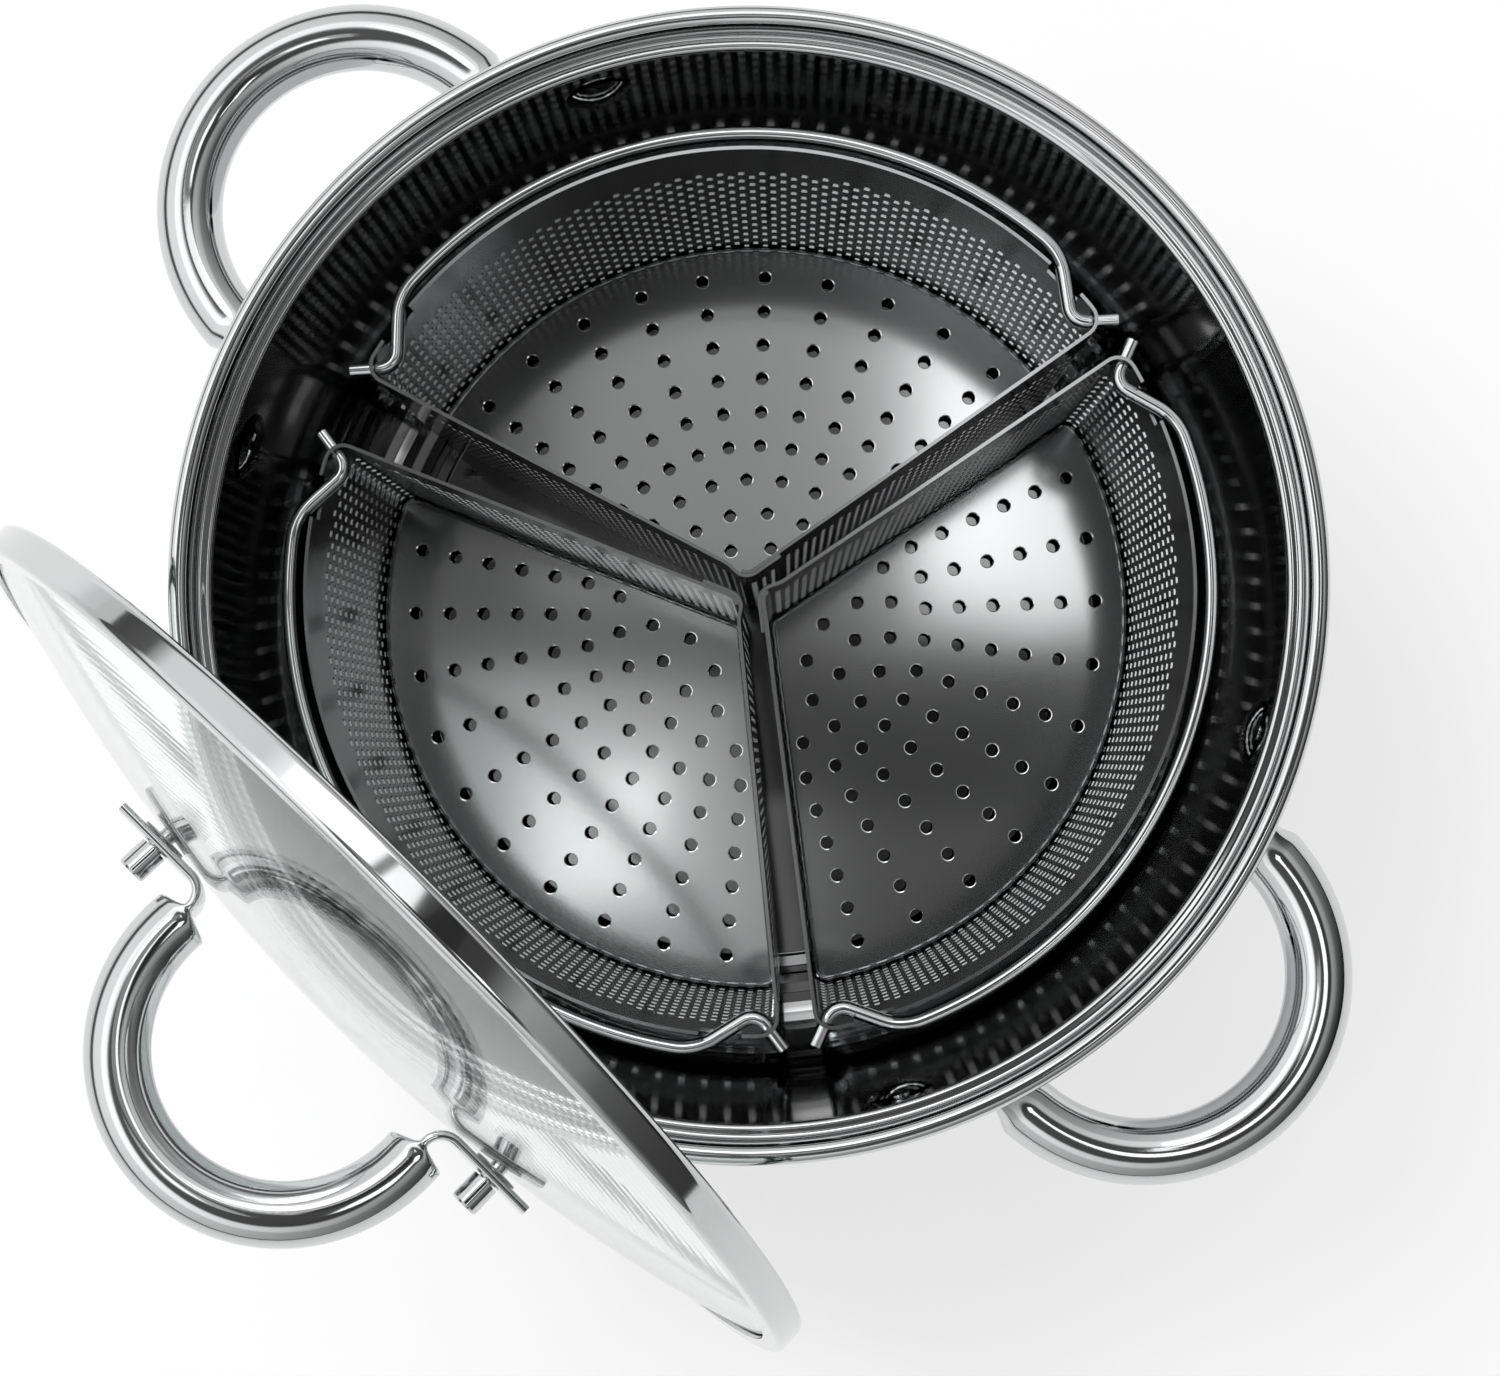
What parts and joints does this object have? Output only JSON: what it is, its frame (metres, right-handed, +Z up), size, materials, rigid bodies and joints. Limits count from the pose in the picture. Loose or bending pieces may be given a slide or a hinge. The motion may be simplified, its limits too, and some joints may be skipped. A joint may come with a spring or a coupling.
{
  "type": "steamer pot",
  "caption": "Round steel steamer pot with riveted tube handles, lift-out perforated sector baskets on wire bails, and a domed glass lid leaning against its rim.",
  "frame": {"origin": "middle of the base's underside, where the pot stands on the table", "axes": "+Z up along the pot's axis, X through the two side handles, -Y towards the leaning lid"},
  "size_m": [0.3456, 0.3133, 0.2392],
  "materials": {
    "polished_steel": "mirror polished",
    "satin_steel": "satin",
    "aluminium": "matt",
    "glass": "clear",
    "silicone": "translucent"
  },
  "bodies": {
    "pot": {"pot_body": "polished_steel", "base_core": "aluminium", "base_cap": "satin_steel", "side_handle_right": "polished_steel", "side_handle_left": "polished_steel", "handle_rivet_1": "polished_steel", "handle_rivet_2": "polished_steel", "handle_rivet_3": "polished_steel", "handle_rivet_4": "polished_steel"},
    "right_basket": {"right_basket_wall": "satin_steel", "right_basket_floor": "satin_steel"},
    "right_bail": {"right_basket_bail": "polished_steel"},
    "rear_basket": {"rear_basket_wall": "satin_steel", "rear_basket_floor": "satin_steel"},
    "rear_bail": {"rear_basket_bail": "polished_steel"},
    "front_basket": {"front_basket_wall": "satin_steel", "front_basket_floor": "satin_steel"},
    "front_bail": {"front_basket_bail": "polished_steel"},
    "lid": {"lid_glass": "glass", "lid_band": "polished_steel", "lid_handle": "polished_steel", "lid_screw_left": "satin_steel", "lid_seal_left": "silicone", "lid_spacer_left": "silicone", "lid_nut_left": "polished_steel", "lid_screw_right": "satin_steel", "lid_seal_right": "silicone", "lid_spacer_right": "silicone", "lid_nut_right": "polished_steel"}
  },
  "joints": [
    {"name": "right_basket_lift", "type": "slide", "parent": "pot", "child": "right_basket", "axis": [0, 0, 1], "range_m": [0, 0.13]},
    {"name": "right_bail_swing", "type": "hinge", "parent": "right_basket", "child": "right_bail", "pos_m": [0.05382, 0.0198, 0.0988], "axis": [0.3453, -0.9385, 0], "range_deg": [0, 120]},
    {"name": "rear_basket_lift", "type": "slide", "parent": "pot", "child": "rear_basket", "axis": [0, 0, 1], "range_m": [0, 0.13]},
    {"name": "rear_bail_swing", "type": "hinge", "parent": "rear_basket", "child": "rear_bail", "pos_m": [-0.04275, 0.03823, 0.0988], "axis": [0.6665, 0.7455, 0], "range_deg": [0, 120]},
    {"name": "front_basket_lift", "type": "slide", "parent": "pot", "child": "front_basket", "axis": [0, 0, 1], "range_m": [0, 0.06]},
    {"name": "front_bail_swing", "type": "hinge", "parent": "front_basket", "child": "front_bail", "pos_m": [-0.00838, -0.05674, 0.0988], "axis": [-0.9893, 0.1461, 0], "range_deg": [0, 120]},
    {"name": "lid_lift", "type": "slide", "parent": "pot", "child": "lid", "axis": [0, -0.967, 0.2548], "range_m": [0, 0.12]}
  ]
}
